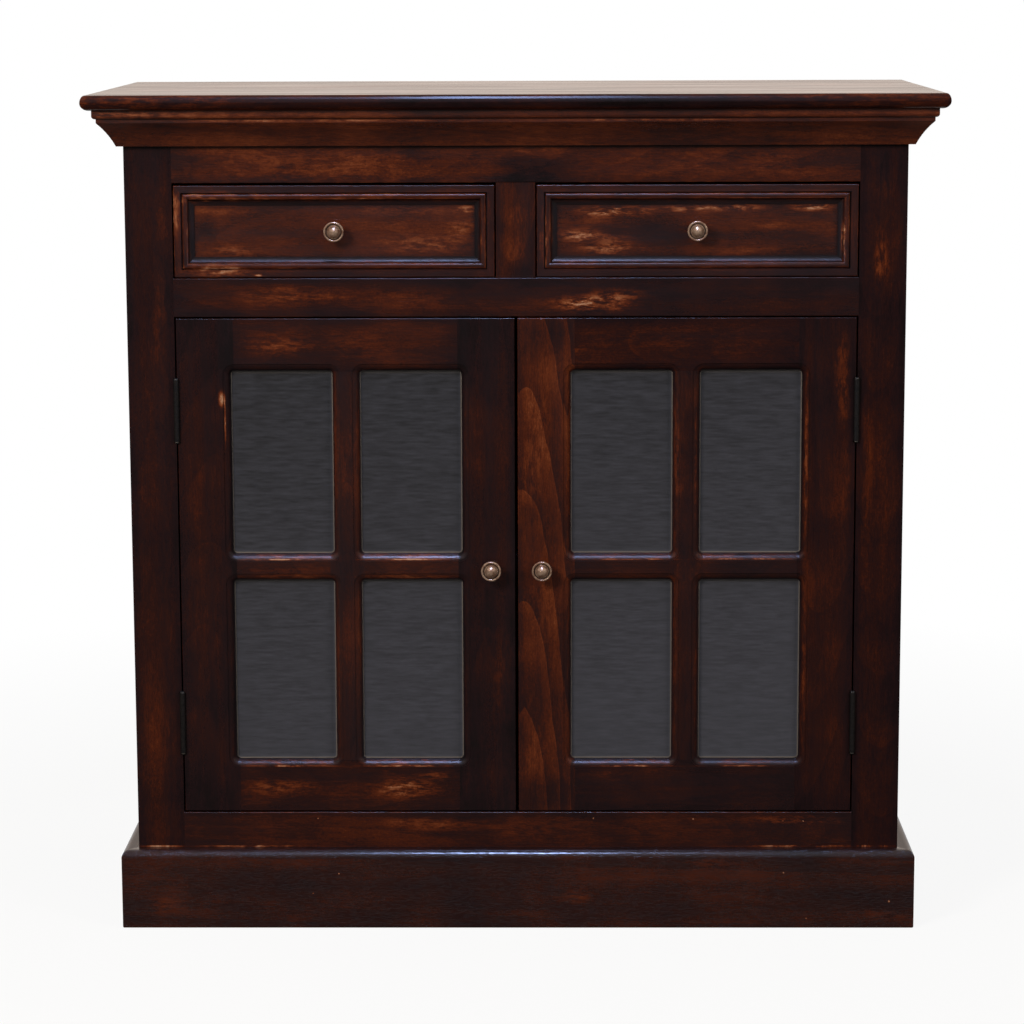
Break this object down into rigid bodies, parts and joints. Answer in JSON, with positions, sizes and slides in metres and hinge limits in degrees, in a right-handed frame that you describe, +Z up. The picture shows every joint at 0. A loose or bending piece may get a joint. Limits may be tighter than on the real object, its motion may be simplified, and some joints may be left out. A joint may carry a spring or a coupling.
{
  "type": "chiffonier",
  "caption": "Dark-stained wooden cupboard with a moulded cornice, sliding drawers above hinged glazed doors, turned knobs and a skirted plinth.",
  "frame": {"origin": "on the floor under the middle of the top board's outline", "axes": "+X to the right seen from the front, +Y to the back, +Z up"},
  "size_m": [0.9, 0.44, 0.897],
  "materials": {
    "dark_wood": "dark brown stain under satin varnish",
    "inner_wood": "bare or thinly stained",
    "glass": "smoked grey",
    "knob_metal": "aged, brown-grey",
    "hinge_metal": "blackened",
    "steel": "plain",
    "catch_plastic": "brown"
  },
  "bodies": {
    "carcass": {"back_panel": "dark_wood", "bottom_rail": "dark_wood", "carcass_screws": "steel", "cleats": "inner_wood", "cornice_front": "dark_wood", "cornice_returns": "dark_wood", "drawer_deck": "dark_wood", "drawer_guides": "inner_wood", "drawer_muntin": "dark_wood", "drawer_stops": "inner_wood", "floor_board": "dark_wood", "hinge_frame_leaves": "hinge_metal", "hinge_pins": "hinge_metal", "left_side_panel": "dark_wood", "left_stile": "dark_wood", "magnetic_catches": "catch_plastic", "middle_rail": "dark_wood", "plinth_front": "dark_wood", "plinth_returns": "dark_wood", "right_side_panel": "dark_wood", "right_stile": "dark_wood", "shelf": "dark_wood", "top_board": "dark_wood", "top_rail": "dark_wood"},
    "left_door": {"left_door_bottom_rail": "dark_wood", "left_door_glass_panes": "glass", "left_door_glazing_bars": "dark_wood", "left_door_glazing_beads": "dark_wood", "left_door_hinge_leaves": "hinge_metal", "left_door_hinge_stile": "dark_wood", "left_door_knob": "knob_metal", "left_door_lock_stile": "dark_wood", "left_door_screws": "steel", "left_door_strike_plate": "steel", "left_door_top_rail": "dark_wood"},
    "right_door": {"right_door_bottom_rail": "dark_wood", "right_door_glass_panes": "glass", "right_door_glazing_bars": "dark_wood", "right_door_glazing_beads": "dark_wood", "right_door_hinge_leaves": "hinge_metal", "right_door_hinge_stile": "dark_wood", "right_door_knob": "knob_metal", "right_door_lock_stile": "dark_wood", "right_door_screws": "steel", "right_door_strike_plate": "steel", "right_door_top_rail": "dark_wood"},
    "left_drawer": {"left_drawer_back": "inner_wood", "left_drawer_bottom": "inner_wood", "left_drawer_front": "dark_wood", "left_drawer_knob": "knob_metal", "left_drawer_knob_screw": "steel", "left_drawer_moulding": "dark_wood", "left_drawer_sides": "inner_wood"},
    "right_drawer": {"right_drawer_back": "inner_wood", "right_drawer_bottom": "inner_wood", "right_drawer_front": "dark_wood", "right_drawer_knob": "knob_metal", "right_drawer_knob_screw": "steel", "right_drawer_moulding": "dark_wood", "right_drawer_sides": "inner_wood"}
  },
  "joints": [
    {"name": "left_door_hinge", "type": "hinge", "parent": "carcass", "child": "left_door", "pos_m": [-0.36025, -0.1825, 0.394], "axis": [0, 0, -1], "range_deg": [0, 165]},
    {"name": "right_door_hinge", "type": "hinge", "parent": "carcass", "child": "right_door", "pos_m": [0.36025, -0.1825, 0.394], "axis": [0, 0, 1], "range_deg": [0, 165]},
    {"name": "left_drawer_slide", "type": "slide", "parent": "carcass", "child": "left_drawer", "axis": [0, -1, 0], "range_m": [0, 0.26]},
    {"name": "right_drawer_slide", "type": "slide", "parent": "carcass", "child": "right_drawer", "axis": [0, -1, 0], "range_m": [0, 0.26]}
  ]
}
